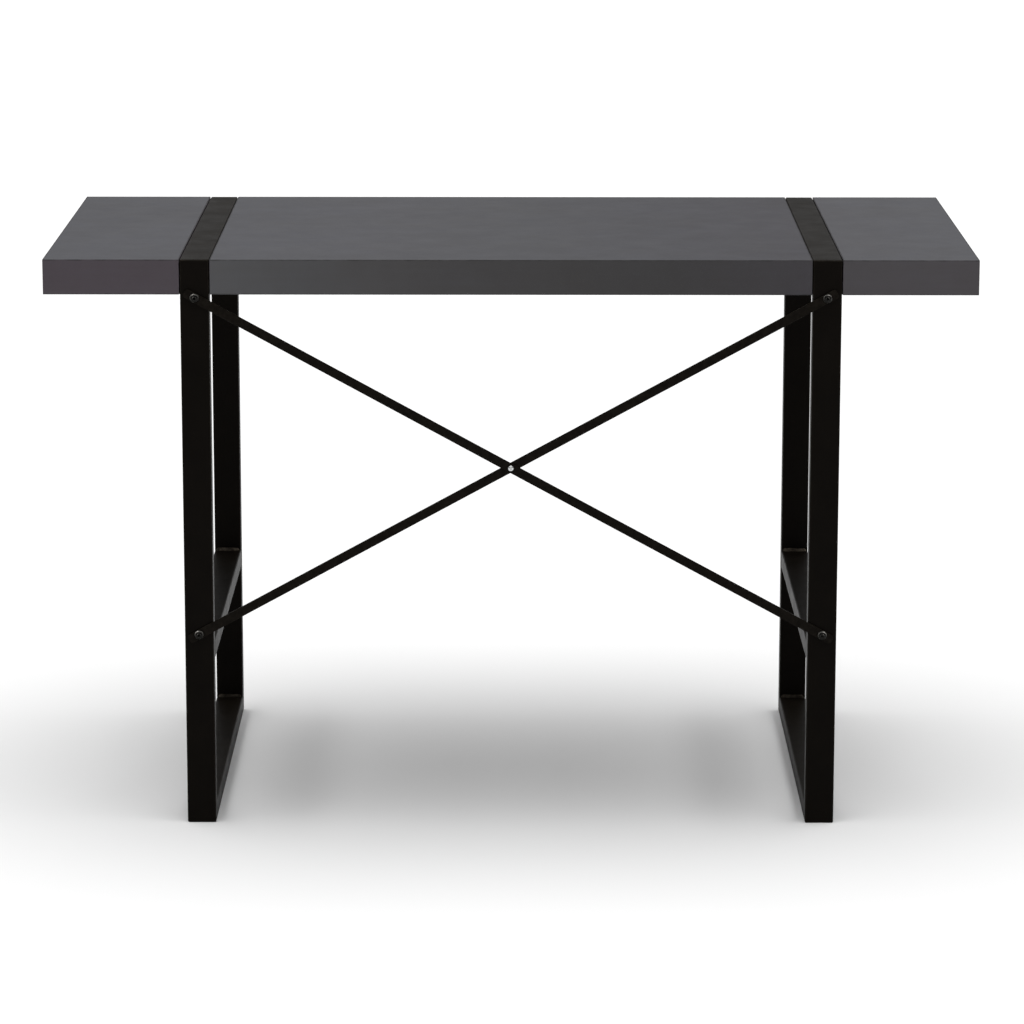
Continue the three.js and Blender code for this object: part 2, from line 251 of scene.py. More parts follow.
def surface_piece(name, grid, wear_and_painted_light=0.0, crease=35.0):
    """A closed mesh object from a grid of rings, of shape (rings, points, 3).

    The two end rings are capped flat. The value given, of shape (rings, points) or one number, goes
    into the edge attribute, which grows from 0 on sound faces to 1 and more where the finish is
    rubbed, where a highlight is painted on the bolts' domes and the welds, and along the panels'
    skin and band edges, which it darkens.
    Faces point outwards.
    """
    rings, points = grid.shape[:2]
    vertices = grid.reshape(-1, 3)
    quads = grid_faces(rings, points)
    first = np.arange(points)
    caps = [first[::-1], first + (rings - 1) * points]
    if signed_volume(vertices - vertices.mean(0), quads, caps) < 0:
        quads = quads[:, ::-1]
        caps = [cap[::-1] for cap in caps]
    mesh = bpy.data.meshes.new(name)
    mesh.from_pydata(vertices.tolist(), [], quads.tolist() + [cap.tolist() for cap in caps])
    edge = mesh.attributes.new("edge", "FLOAT", "POINT")
    edge.data.foreach_set("value", np.broadcast_to(wear_and_painted_light, (rings, points)).astype(np.float32).ravel())
    mesh.polygons.foreach_set("use_smooth", np.ones(len(mesh.polygons), bool))
    mesh.set_sharp_from_angle(angle=math.radians(crease))
    piece = bpy.data.objects.new(name, mesh)
    bpy.context.scene.collection.objects.link(piece)
    return piece


def finished(piece, slot):
    """Finish a piece of the desk as its slot says."""
    piece.data.materials.append(finishes()[slot])
    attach(piece, BODY)


def stand_for(piece, node):
    """Finish a piece as its CAD node's slot says and let it stand for that node."""
    finished(piece, SLOT_OF[node])
    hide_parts(node)


def rounded_ring(width, height, radius, steps, support):
    """Points round a rectangle with round corners, and how worn each one is.

    Each corner is a quarter circle about a point one radius in from both sides, with one more
    point on each side of it, at the support distance, that keeps the flats flat. width, height
    and radius may be arrays; a leading axis is added for them.
    """
    width, height, radius = (np.atleast_1d(v)[:, None, None] for v in (width, height, radius))
    flat = np.minimum(width / 2 - radius, height / 2 - radius)
    support = np.minimum(support, FLAT_SHARE * flat)
    signs = np.array([[1, 1], [-1, 1], [-1, -1], [1, -1]])[None, :, None]
    start = (np.arange(4) * QUARTER)[None, :, None]
    sweep = np.linspace(0, QUARTER, steps + 1)
    sweep = np.concatenate([[0], sweep, [QUARTER]])[None, None, :]
    along = np.zeros(steps + 3)
    along[0], along[-1] = -1, 1
    angle = start + sweep
    slide = along[None, None, :] * support
    x = signs[..., 0] * (width / 2 - radius) + radius * np.cos(angle) - slide * np.sin(angle)
    y = signs[..., 1] * (height / 2 - radius) + radius * np.sin(angle) + slide * np.cos(angle)
    wear_and_painted_light = np.broadcast_to(np.sin(2 * sweep) * np.ones((1, 4, 1)), x.shape[-3:])
    shape = (x.shape[0], -1)
    return np.stack([x.reshape(shape), y.reshape(shape)], -1), wear_and_painted_light.reshape(wear_and_painted_light.shape[0], -1)


def rounded_box(name, low, high, radius, rim=0.0):
    """A box whose edges and corners are all round.

    Rounded rectangles are stacked along Z. Their inset from the sides follows a quarter circle at
    the bottom and at the top: inset = r (1 - sin a) at height r (1 - cos a). A flat end's outline
    keeps a small corner radius. The rim value holds the edge attribute up to where the roundings
    end.
    """
    size, centre, steps = high - low, (low + high) / 2, 4
    support = min(1.5 * MM, FLAT_SHARE * (size[2] / 2 - radius))
    a = np.linspace(0, QUARTER, steps + 1)
    reach = FLAT_SHARE * (min(size[0], size[1]) / 2 - radius)
    inset = np.concatenate([[radius + min(support, reach)], radius * (1 - np.sin(a)), [0]])
    rise = np.concatenate([[0], radius * (1 - np.cos(a)), [radius + support]])
    wear_and_painted_light = np.concatenate([[0], np.maximum(np.sin(2 * a), rim), [0]])
    inset = np.concatenate([inset, inset[::-1]])
    rise = np.concatenate([rise, size[2] - rise[::-1]])
    wear_and_painted_light = np.concatenate([wear_and_painted_light, wear_and_painted_light[::-1]])
    least_corner = 0.08 * radius
    corner = np.maximum(radius - inset, least_corner)
    ring, ring_worn = rounded_ring(size[0] - 2 * inset, size[1] - 2 * inset, corner, steps, support)
    grid = as_points(ring[..., 0] + centre[0], ring[..., 1] + centre[1], (low[2] + rise)[:, None])
    beside = np.clip(1 - inset / radius, 0, 1)[:, None]
    return surface_piece(name, grid, np.maximum(wear_and_painted_light[:, None], beside * ring_worn))


def tube_section(width, height, corner):
    """Outline of a tube and how worn each of its points is."""
    return rounded_ring(width, height, corner, 8, 2 * corner)


def mitred_tube(name, middle, size, half_long, half_out, along_z, outward, corner, outer, inner, rub):
    """One side of a welded rectangular loop of tube, from mitre to mitre.

    The section is a rounded rectangle, across X by b inwards from the loop's outer face. At each
    b the loop's outline is a rectangle with round corners, whose radius goes evenly from the
    outer one at b = 0 to the inner one at the full depth, and the tube follows it from the middle
    of one corner's arc to the middle of the next.
    """
    width, depth = size
    section, section_worn = tube_section(width, depth, corner)
    across, b = section[0, :, 0][None, :], (depth / 2 - section[0, :, 1])[None, :]
    bend = outer + (inner - outer) * b / depth
    a = np.linspace(QUARTER / 2, 0, 6)[:, None]
    straight = half_long - b - bend
    arc_long, arc_out = straight + bend * np.sin(a), half_out - b - bend + bend * np.cos(a)
    support = 4 * outer
    near_long, near_out = straight - support, half_out - b
    long_way = np.concatenate([-arc_long, -near_long, near_long, arc_long[::-1]])
    out_way = np.concatenate([arc_out, near_out, near_out, arc_out[::-1]])
    arc_worn = np.sin(2 * (QUARTER / 2 - a) + QUARTER) * (1 - b / depth) * (a > 0)
    flat = np.zeros_like(b)
    wear_and_painted_light = np.concatenate([arc_worn, flat, flat, arc_worn[::-1]])
    grid = np.empty(long_way.shape + (3,))
    grid[..., 0] = middle[0] + across
    long_axis, out_axis = (2, 1) if along_z else (1, 2)
    grid[..., long_axis] = middle[long_axis] + long_way
    grid[..., out_axis] = middle[out_axis] + outward * out_way
    return surface_piece(name, grid, rub * np.maximum(wear_and_painted_light, section_worn))


def straight_tube(name, low, high, corner, rub):
    """A plain length of tube along Y: one rounded rectangle carried straight."""
    size, centre = high - low, (low + high) / 2
    section, wear_and_painted_light = tube_section(size[0], size[2], corner)
    ends = np.array([[low[1]], [high[1]]])
    grid = as_points(centre[0] + section[..., 0], ends, centre[2] + section[..., 1])
    return surface_piece(name, grid, rub * wear_and_painted_light)


def ripple(distance, pitch, seed):
    """How far a weld swells along its length: arches one pitch long on a slow random wander."""
    arch_height, slowest = 0.11, 6 * pitch
    draw = np.random.default_rng(seed)
    wander = sum(
        draw.uniform(0.01, 0.03) * np.sin(distance * k / slowest + draw.uniform(0, TURN))
        for k in (1.0, 1.7, 2.9)
    )
    return 1 + arch_height * np.abs(np.sin(math.pi * distance / pitch)) + wander


def weld_in_corner(name, start, end, first, second, leg, pitch, bare_and_painted_light, seed):
    """A fillet weld along a straight inside corner, from start to end.

    Its profile is a quarter circle between the two faces' directions and a root point behind
    both. It swells with ripples and closes at its ends as the square root of the distance from
    them.
    """
    start, end, first, second = (np.asarray(v, float) for v in (start, end, first, second))
    length = float(np.linalg.norm(end - start))
    rings_in_ripple, tip, closing = 6, 0.002, 0.8 * leg
    t = np.linspace(tip, 1 - tip, int(length / pitch) * rings_in_ripple)
    taper = np.sqrt(np.clip(np.minimum(t, 1 - t) * length / closing, 0, 1))
    swell = (leg * taper * ripple(t * length, pitch, seed))[:, None, None]
    a, root = np.linspace(0, QUARTER, 7), -0.15
    to_first, to_second = np.append(np.cos(a), root), np.append(np.sin(a), root)
    path = start + (end - start) * t[:, None]
    profile = to_first[:, None] * first + to_second[:, None] * second
    return surface_piece(name, path[:, None, :] + swell * profile[None], bare_and_painted_light, crease=70)


def bowed_bar(name, middle, length, width, thickness, slope, bow, reach, edge, corner, rub, thin):
    """A flat bar with rolled edges and round corners, bowed along -Y about its middle.

    A rounded rectangle is carried along the slope in the XZ plane. Its width closes near the ends
    as a quarter circle of the corner radius, and its thickness as one of the edge radius, both by
    the end share. The bow is bow (1 + cos(pi s / reach)) / 2 within reach of the middle, and
    nothing beyond.
    """
    half, end_share, roundness = length / 2, 0.8, 0.98
    a = np.linspace(0, QUARTER, 9)
    near_end = np.concatenate([edge * (1 - np.cos(a[:5])), corner * (1 - np.cos(a))])
    near_end = np.unique(np.round(near_end, 7))
    straight = half - 1.3 * corner
    stations = np.concatenate([near_end - half, np.linspace(-straight, straight, 81),
                               (half - near_end)[::-1]])
    from_end = half - np.abs(stations)
    in_corner = np.clip(corner - from_end, 0, corner)
    in_edge = np.clip(edge - from_end, 0, edge)
    narrowing = 2 * end_share * (corner - np.sqrt(corner**2 - in_corner**2))
    thinning = 2 * end_share * (edge - np.sqrt(edge**2 - in_edge**2))
    ring, wear_and_painted_light = rounded_ring(width - narrowing, thickness - thinning,
                              roundness * (edge - thinning / 2), 4, 0.8 * edge)
    share = np.clip(np.abs(stations) / reach, 0, 1)
    shift = -bow * (1 + np.cos(math.pi * share)) / 2
    direction = np.array([math.cos(slope), 0, math.sin(slope)])
    across = np.array([-math.sin(slope), 0, math.cos(slope)])
    grid = middle + stations[:, None, None] * direction + ring[..., :1] * across
    grid[..., 1] += ring[..., 1] + shift[:, None]
    end_worn = np.clip(in_edge / edge, 0, 1)[:, None]
    return surface_piece(name, grid, thin + rub * np.maximum(end_worn, wear_and_painted_light))


def turned(name, centre, profile, wear_and_painted_light, crease, hexagon=0.0, bolt_highlights=()):
    """A round solid about an axis along Y from (radius, height towards -Y) stations.

    Where hexagon gives a share above 0 at a station, its radius goes that far from the circle to
    a hexagon of the same apothem: apothem / cos(angle from the middle of the nearest flat). Each
    angle, spread and amount of the last argument adds a bell of painted highlight round the axis
    to a low even share: amount exp(-(difference / spread)^2).
    """
    profile = np.asarray(profile, float)
    angle = np.linspace(0, TURN, 96, endpoint=False)
    share = np.broadcast_to(hexagon, len(profile))[:, None]
    to_flat = (angle + TURN / 12) % (TURN / 6) - TURN / 12
    radius = profile[:, :1] * ((1 - share) + share / np.cos(to_flat))
    grid = as_points(centre[0] + radius * np.cos(angle), centre[1] - profile[:, 1:],
                     centre[2] + radius * np.sin(angle))
    highlight_share = np.full(len(angle), EVEN_HIGHLIGHT if bolt_highlights else 1.0)
    for middle, spread, amount in bolt_highlights:
        apart = (angle - middle + math.pi) % TURN - math.pi
        highlight_share += amount * np.exp(-((apart / spread) ** 2))
    return surface_piece(name, grid, np.array(wear_and_painted_light)[:, None] * highlight_share, crease)


# -------- node helpers


def add_node(tree, kind, inputs=None, **settings):
    """A node with its settings, and its input sockets set to values or linked to outputs."""
    made = tree.nodes.new(kind)
    for key, value in settings.items():
        setattr(made, key, value)
    for key, value in (inputs or {}).items():
        if isinstance(value, bpy.types.NodeSocket):
            tree.links.new(value, made.inputs[key])
        else:
            made.inputs[key].default_value = value
    return made


def arithmetic(tree, operation, *values, clamp=False):
    """The output of a Math node."""
    return add_node(tree, "ShaderNodeMath", dict(enumerate(values)), operation=operation,
                    use_clamp=clamp).outputs[0]


def blended(tree, first, second, share):
    """Two values mixed by the second one's share."""
    rest = arithmetic(tree, "MULTIPLY", first, 1.0 - share)
    return arithmetic(tree, "MULTIPLY_ADD", second, share, rest)


def scaled(tree, vector, factors):
    """A vector times three factors."""
    return add_node(tree, "ShaderNodeVectorMath", {0: vector, 1: factors},
                    operation="MULTIPLY").outputs[0]


def noise(tree, vector, scale, detail=2.0, roughness=0.5):
    """A noise texture's value."""
    inputs = {"Vector": vector, "Scale": scale, "Detail": detail, "Roughness": roughness}
    return add_node(tree, "ShaderNodeTexNoise", inputs).outputs[0]


def span(tree, value, from_low, from_high, to_low=0.0, to_high=1.0):
    """A value's range carried onto another, held at its ends."""
    inputs = {"Value": value, "From Min": from_low, "From Max": from_high,
              "To Min": to_low, "To Max": to_high}
    return add_node(tree, "ShaderNodeMapRange", inputs).outputs[0]


def colour_mix(tree, share, first, second, blend="MIX"):
    """Two colours mixed by a share. The Mix node's colours are its sockets 6 and 7."""
    return add_node(tree, "ShaderNodeMix", {0: share, 6: first, 7: second}, data_type="RGBA",
                    blend_type=blend).outputs[2]


def rgba(colour, factor=1.0):
    """A property colour, made lighter or darker, with alpha."""
    return tuple(min(1.0, c * factor) for c in colour) + (1.0,)


def effect_group(name, **inputs):
    """A shader node group under way, and its inputs: Vector and those given, with their defaults.

    Underscores in an input's name stand for spaces, and one without a default is a vector.
    """
    tree = bpy.data.node_groups.new(name, "ShaderNodeTree")
    for label, default in {"Vector": None, **inputs}.items():
        kind = "NodeSocketVector" if default is None else "NodeSocketFloat"
        label = label.replace("_", " ")
        socket = tree.interface.new_socket(name=label, in_out="INPUT", socket_type=kind)
        if default is not None:
            socket.default_value = default
    return tree, tree.nodes.new("NodeGroupInput").outputs


def put_out(tree, kind="NodeSocketFloat", **values):
    """Lets a node group put out values by name, and returns it."""
    for label in values:
        tree.interface.new_socket(name=label, in_out="OUTPUT", socket_type=kind)
    add_node(tree, "NodeGroupOutput", values)
    return tree


def mottle_group():
    """Clouds and faint streaks of a printed concrete-like paper, with fine specks."""
    tree, given = effect_group("Mottle", Cloud_Scale=7.0, Streak_Scale=60.0, Speck_Scale=700.0)
    vector, cloud_scale = given["Vector"], given["Cloud Scale"]
    finer, along_grain, patch_share = (5.0, 5.0, 5.0), (0.06, 1.0, 1.0), 0.45
    wide = noise(tree, vector, cloud_scale, 5.0, 0.62)
    patch = noise(tree, scaled(tree, vector, finer), cloud_scale, 4.0, 0.6)
    streaks = noise(tree, scaled(tree, vector, along_grain), given["Streak Scale"], 3.0, 0.6)
    specks = noise(tree, vector, given["Speck Scale"], 1.0)
    return put_out(
        tree, Clouds=span(tree, blended(tree, wide, patch, patch_share), 0.36, 0.64),
        Streaks=span(tree, streaks, 0.3, 0.7), Specks=span(tree, specks, 0.62, 0.72),
    )


# Shades of the boards' faces and edges: places along X in metres and factors on the colour there.
# Partly the print's own tone, partly painted light and shade: the centre board darker towards +X,
# its near edge lighter near -X and darker towards +X
FACE_TONE_AND_SHADE = (
    (-0.61, (1.00, 1.00, 1.03)), (-0.41, (1.00, 1.00, 1.02)), (-0.39, (0.98, 0.98, 1.01)),
    (-0.18, (0.97, 0.96, 0.98)), (0.0, (0.89, 0.89, 0.90)), (0.15, (0.80, 0.79, 0.82)),
    (0.39, (0.71, 0.68, 0.73)), (0.41, (1.03, 1.02, 1.04)), (0.61, (1.01, 1.01, 1.03)),
)
EDGE_TONE_AND_SHADE = (
    (-0.61, (1.12, 0.94, 1.08)), (-0.41, (1.10, 0.92, 1.05)), (-0.39, (1.33, 1.37, 1.38)),
    (-0.28, (1.13, 1.16, 1.18)), (-0.18, (1.03, 1.03, 1.03)), (-0.08, (0.86, 0.85, 0.85)),
    (0.06, (0.75, 0.74, 0.73)), (0.2, (0.67, 0.66, 0.65)), (0.39, (0.74, 0.70, 0.77)),
    (0.41, (1.03, 0.98, 1.02)), (0.61, (1.08, 1.01, 1.06)),
)


def tone_ramp(tree, share, stops):
    """The colour of a ramp along the desk, whose stops' factors are halved to fit."""
    ramp = add_node(tree, "ShaderNodeValToRGB", {0: share})
    elements = ramp.color_ramp.elements
    elements.remove(elements[0])
    for number, (x, factor) in enumerate(stops):
        place = (x + HALF_LENGTH) / (2 * HALF_LENGTH)
        stop = elements[0] if number == 0 else elements.new(place)
        stop.position, stop.color = place, tuple(f / 2 for f in factor) + (1.0,)
    return ramp.outputs[0]


def tone_and_shade_group():
    """Slow change of the boards' shade along the desk: partly the print's own tone, partly painted
    light and shade.
    """
    tree, given = effect_group("Painted shade and board tone")
    along = add_node(tree, "ShaderNodeSeparateXYZ", {0: given["Vector"]}).outputs["X"]
    share = span(tree, along, -HALF_LENGTH, HALF_LENGTH)
    return put_out(tree, "NodeSocketColor", Face=tone_ramp(tree, share, FACE_TONE_AND_SHADE),
                   Edge=tone_ramp(tree, share, EDGE_TONE_AND_SHADE))


def grain_group():
    """Fine orange peel: a height for bump and a value for roughness."""
    tree, given = effect_group("Fine grain", Peel_Scale=1400.0, Patch_Scale=35.0)
    peel = noise(tree, given["Vector"], given["Peel Scale"], 2.0, 0.55)
    patches = noise(tree, given["Vector"], given["Patch Scale"], 3.0, 0.6)
    return put_out(tree, Height=peel, Patches=span(tree, patches, 0.3, 0.7))


def wear_group():
    """Broken marks along edges, rubbed wear and painted highlight: the edge attribute times a patchy
    noise.
    """
    tree, given = effect_group("Painted light and edge wear", Edge=0.0, Break_Scale=90.0, Amount=0.5)
    clumps = noise(tree, given["Vector"], given["Break Scale"], 4.0, 0.65)
    broken = span(tree, clumps, 0.38, 0.66, 0.15, 1.0)
    on_edge = arithmetic(tree, "MULTIPLY", given["Edge"], broken)
    return put_out(tree, Mask=arithmetic(tree, "MULTIPLY", on_edge, given["Amount"], clamp=True))


def dust_group():
    """A thin settled film: how far a face looks up times a soft noise."""
    tree, given = effect_group("Settled dust", Normal=None, Amount=0.1)
    up = add_node(tree, "ShaderNodeSeparateXYZ", {0: given["Normal"]}).outputs["Z"]
    film = span(tree, noise(tree, given["Vector"], 22.0, 5.0, 0.65), 0.3, 0.75, 0.3, 1.0)
    settled = arithmetic(tree, "MULTIPLY", arithmetic(tree, "MAXIMUM", up, 0.0), film)
    return put_out(tree, Mask=arithmetic(tree, "MULTIPLY", settled, given["Amount"], clamp=True))


class Finish:
    """A material under way: its tree, its shader and the effects that it places."""

    groups = {}
    made = {}

    def __init__(self, name):
        self.material = bpy.data.materials.new(f"fine_{name}")
        self.material.use_nodes = True
        self.tree = self.material.node_tree
        self.shader = self.tree.nodes["Principled BSDF"]
        self.place = add_node(self.tree, "ShaderNodeTexCoord").outputs["Object"]

    def effect(self, name, **values):
        """Places an effect group; underscores in a value's name stand for spaces."""
        inputs = {key.replace("_", " "): value for key, value in values.items()}
        return add_node(self.tree, "ShaderNodeGroup", {"Vector": self.place, **inputs},
                        node_tree=self.groups[name]).outputs

    def wear_and_painted_light(self, colour, amount, scale, bare_and_painted_light):
        """A colour, mixed into a second one where the piece's edge attribute says: rubbed through on
        most pieces, a painted highlight on the bolts and welds, and darker along the panels' skin and
        band edges.
        """
        edge = add_node(self.tree, "ShaderNodeAttribute", attribute_name="edge").outputs["Fac"]
        mask = self.effect("Painted light and edge wear", Edge=edge, Break_Scale=scale, Amount=amount)["Mask"]
        return colour_mix(self.tree, mask, colour, bare_and_painted_light)

    def dusted(self, colour, amount, dust):
        """A colour with dust settled on what looks up."""
        normal = add_node(self.tree, "ShaderNodeNewGeometry").outputs["Normal"]
        mask = self.effect("Settled dust", Normal=normal, Amount=amount)["Mask"]
        return colour_mix(self.tree, mask, colour, dust)

    def shades(self, share, colour, first, second):
        """A property colour times each of two factors, mixed by a share."""
        return colour_mix(self.tree, share, rgba(colour, first), rgba(colour, second))

    def paint(self, colour):
        """Base colour from a node's output."""
        self.tree.links.new(colour, self.shader.inputs["Base Color"])

    def rough(self, share, smooth, dull):
        """Roughness from smooth to dull, by a share."""
        value = span(self.tree, share, 0.0, 1.0, smooth, dull)
        self.tree.links.new(value, self.shader.inputs["Roughness"])

    def bump(self, height, depth):
        """Bump of a height that runs from 0 to 1, as deep as depth in metres."""
        bump = add_node(self.tree, "ShaderNodeBump", {"Height": height, "Distance": depth})
        self.tree.links.new(bump.outputs[0], self.shader.inputs["Normal"])

    def grain(self, peel, patch, smooth, dull, depth):
        """Orange peel as deep as depth and roughness in patches, whose value it returns."""
        grain = self.effect("Fine grain", Peel_Scale=peel, Patch_Scale=patch)
        self.rough(grain["Patches"], smooth, dull)
        self.bump(grain["Height"], depth)
        return grain["Patches"]

    def printed(self, cloud, streak, speck, streak_share):
        """Printed paper: its clouds and streaks blended, and its specks."""
        mottle = self.effect("Mottle", Cloud_Scale=cloud, Streak_Scale=streak, Speck_Scale=speck)
        return blended(self.tree, mottle["Clouds"], mottle["Streaks"], streak_share), mottle["Specks"]

    def fixed(self, **values):
        """Numbers that are the same all over, set on the shader's own sockets."""
        for key, value in values.items():
            self.shader.inputs[key.replace("_", " ")].default_value = value


# -------- finishes


WARM, COOL = (1.015, 1.0, 0.975), (0.99, 1.0, 1.02)  # hues of a board's dark and pale clouds
BOARD_DUST = (0.3, 0.3, 0.29, 1.0)
STEEL_DUST = (0.37, 0.29, 0.19, 1.0)
HIGHLIGHT_STEEL = (0.62, 0.60, 0.55, 1.0)
PASSIVATED = (0.74, 0.72, 0.60, 1.0)  # zinc's tint


def printed_board(finish, tone, colour, streak_share, contrast):
    """The colour of a printed board: its tone along the desk, partly painted light and shade, with
    clouds, streaks and specks.

    The tone's factors come halved, so the clouds' colours are doubled.
    """
    tree = finish.tree
    mix, specks = finish.printed(4.0, 90.0, 800.0, streak_share)
    dark = tuple(2 * (1 - contrast) * hue for hue in WARM) + (1.0,)
    pale = tuple(2 * (1 + contrast) * hue for hue in COOL) + (1.0,)
    clouds = colour_mix(tree, mix, dark, pale)
    # painted light and shade along the desk, multiplied into the clouds
    shaded = colour_mix(tree, 1.0, finish.effect("Painted shade and board tone")[tone], clouds, "MULTIPLY")
    toned = colour_mix(tree, 1.0, shaded, rgba(colour), "MULTIPLY")
    return colour_mix(tree, arithmetic(tree, "MULTIPLY", specks, 0.3), toned, rgba(colour, 1.3))


def charcoal_laminate(finish, colours):
    """Matte charcoal laminate with cloudy mottling, faint long streaks and fine specks."""
    printed = printed_board(finish, "Face", colours.laminate, 0.25, 0.09)
    # the skin's eased edges darker
    wear_and_painted_light = finish.wear_and_painted_light(printed, 0.5, 120.0, rgba(colours.laminate, 0.5))
    finish.paint(finish.dusted(wear_and_painted_light, 0.03, BOARD_DUST))
    finish.grain(900.0, 18.0, 0.60, 0.70, 0.04 * MM)
    finish.fixed(Specular_IOR_Level=0.28)


def charcoal_edge_band(finish, colours):
    """Matte plastic edge band with a fine leathery grain, darker along its rounded edges."""
    printed = printed_board(finish, "Edge", colours.band, 0.4, 0.07)
    # darker along the whole rounded edge
    finish.paint(finish.wear_and_painted_light(printed, 1.0, 60.0, rgba(colours.band, 0.3)))
    finish.grain(1100.0, 30.0, 0.52, 0.64, 0.05 * MM)
    finish.fixed(Specular_IOR_Level=0.3)


def black_powder_coat(finish, colours):
    """Black powder coat: orange peel, uneven sheen, thin rubbed edges, painted highlights on the weld
    beads and a trace of dust.
    """
    patches = finish.grain(1300.0, 28.0, 0.37, 0.46, 0.06 * MM)
    coat = finish.shades(patches, colours.powder, 0.85, 1.2)
    # rubbed edges, and painted highlights on the weld beads, in the rubbed coat's colour
    wear_and_painted_light = finish.wear_and_painted_light(coat, 0.75, 140.0, rgba(colours.bare_coat_and_weld_highlight))
    finish.paint(finish.dusted(wear_and_painted_light, 0.010, STEEL_DUST))
    finish.fixed(Specular_IOR_Level=0.027)


def black_bolt(finish, colours):
    """Oiled black oxide on a machined bolt head, with painted highlights in bright steel on its dome.
    """
    patches = finish.grain(2600.0, 260.0, 0.22, 0.34, 0.02 * MM)
    oxide = finish.shades(patches, colours.black_oxide, 0.8, 1.5)
    # painted highlight: bright steel where the edge attribute is high on the dome
    finish.paint(finish.wear_and_painted_light(oxide, 1.0, 2500.0, HIGHLIGHT_STEEL))
    finish.fixed(Metallic=0.9)


def zinc_plate(finish, colours):
    """Bright zinc plate, with a faint passivated tint and tarnish in patches."""
    tree = finish.tree
    patches = finish.grain(3000.0, 420.0, 0.20, 0.34, 0.012 * MM)
    zinc = finish.shades(patches, colours.zinc, 1.0, 0.82)
    tint = span(tree, noise(tree, finish.place, 300.0), 0.4, 0.7, 0.0, 0.35)
    tinted = colour_mix(tree, tint, zinc, PASSIVATED)
    finish.paint(finish.wear_and_painted_light(tinted, 0.4, 700.0, rgba(colours.zinc, 1.3)))
    finish.fixed(Metallic=1.0)


def black_backing(finish, colours):
    """Dark paper foil on thin board, slightly fibrous and scuffed."""
    tone, _ = finish.printed(11.0, 220.0, 1000.0, 0.5)
    foil = finish.shades(tone, colours.backing, 0.75, 1.35)
    finish.paint(finish.wear_and_painted_light(foil, 0.5, 130.0, rgba(colours.backing, 3.0)))
    finish.grain(1600.0, 40.0, 0.72, 0.86, 0.05 * MM)
    finish.fixed(Specular_IOR_Level=0.25)


def particle_board(finish, colours):
    """Raw particle board: pale chips of several browns pressed flat."""
    tree = finish.tree
    chips = add_node(tree, "ShaderNodeTexVoronoi", {"Vector": finish.place, "Scale": 420.0})
    shade = add_node(tree, "ShaderNodeSeparateColor", {0: chips.outputs["Color"]}).outputs[0]
    chip = finish.shades(shade, colours.board, 0.6, 1.25)
    gaps = span(tree, chips.outputs["Distance"], 0.45, 0.75, 0.0, 0.7)
    finish.paint(colour_mix(tree, gaps, chip, rgba(colours.board, 0.35)))
    finish.rough(shade, 0.8, 0.95)
    finish.bump(chips.outputs["Distance"], 0.15 * MM)


def honeycomb_paper(finish, colours):
    """Brown honeycomb paper with short fibres."""
    tree = finish.tree
    fibres = noise(tree, scaled(tree, finish.place, (1.0, 1.0, 0.2)), 900.0, 4.0, 0.6)
    tone = span(tree, fibres, 0.3, 0.7)
    finish.paint(finish.shades(tone, colours.paper, 0.75, 1.15))
    finish.rough(tone, 0.85, 0.98)
    finish.bump(fibres, 0.06 * MM)


def studio_floor(finish, colours):
    """Pale studio floor with barely uneven paint."""
    patches = noise(finish.tree, finish.place, 0.8, 3.0)
    finish.paint(finish.shades(patches, colours.floor, 0.995, 1.005))
    finish.fixed(Roughness=0.9, Specular_IOR_Level=0.1)


# Each is named for the slot that it finishes
MAKERS = (
    charcoal_laminate, charcoal_edge_band, black_backing, particle_board, honeycomb_paper,
    black_powder_coat, black_bolt, zinc_plate, studio_floor,
)


def finishes():
    """Every finish's material by slot name, all made the first time that one is asked for."""
    if not Finish.made:
        Finish.groups.update({
            "Mottle": mottle_group(), "Painted shade and board tone": tone_and_shade_group(), "Fine grain": grain_group(),
            "Painted light and edge wear": wear_group(), "Settled dust": dust_group(),
        })
        for make in MAKERS:
            finish = Finish(make.__name__)
            make(finish, bpy.context.scene.desk_finish)
            Finish.made[make.__name__] = finish.material
    return Finish.made


# -------- operators


class DESK_OT_leg_frames(bpy.types.Operator):
    """Two loops of mitred tube, each with a middle rail between its posts"""

    bl_idname = "desk.leg_frames"
    bl_label = "Leg frames"

    def execute(self, context):
        shape = context.scene.desk_shape
        for side in SIDES:
            near, far = lower(f"{side}_near_post"), upper(f"{side}_far_post")
            bottom, top = lower(f"{side}_bottom_rail")[2], upper(f"{side}_top_rail")[2]
            width, depth = (upper(f"{side}_near_post") - near)[:2]
            middle = np.array([near[0] + width / 2, (near[1] + far[1]) / 2, (bottom + top) / 2])
            half_y, half_z = (far[1] - near[1]) / 2, (top - bottom) / 2
            sides = {
                "near_post": (half_z, half_y, True, -1), "far_post": (half_z, half_y, True, 1),
                "top_rail": (half_y, half_z, False, 1), "bottom_rail": (half_y, half_z, False, -1),
            }
            for part, where in sides.items():
                tube = mitred_tube(f"fine_{side}_{part}", middle, (width, depth), *where,
                                   shape.tube_corner, shape.loop_outer, shape.loop_inner,
                                   shape.tube_rub)
                stand_for(tube, f"{side}_{part}")
            node = f"{side}_middle_rail"
            low, high = box_of(node)
            low[1], high[1] = near[1] + depth, far[1] - depth
            rail = straight_tube(f"fine_{node}", low, high, shape.tube_corner, shape.tube_rub)
            stand_for(rail, node)
        return {"FINISHED"}


